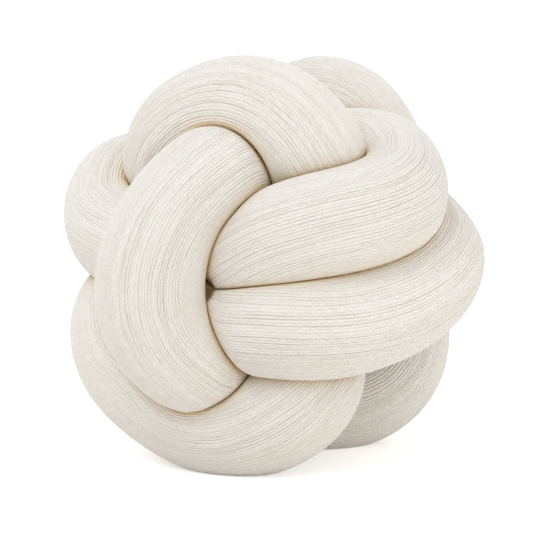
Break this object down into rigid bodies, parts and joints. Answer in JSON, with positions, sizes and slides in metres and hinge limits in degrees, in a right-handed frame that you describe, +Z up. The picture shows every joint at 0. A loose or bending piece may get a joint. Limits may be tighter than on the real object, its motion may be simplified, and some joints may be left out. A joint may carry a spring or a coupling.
{
  "type": "knot cushion",
  "caption": "Ball-shaped cushion tied from one long filled tube of thick off-white rib knit, for a seat, sofa or bed.",
  "frame": {"origin": "middle of the box's bottom, on the surface that the ball rests on", "axes": "+Z up; -Y towards the side with the upright pass and the two sweeps; +X to that side's right"},
  "size_m": [0.3044, 0.293, 0.2847],
  "materials": {
    "rib_knit": "off-white wool and cotton rib knit, matt, with fine ribs running along the tube"
  },
  "bodies": {
    "root": {"knotted_tube": "rib_knit"}
  },
  "joints": []
}
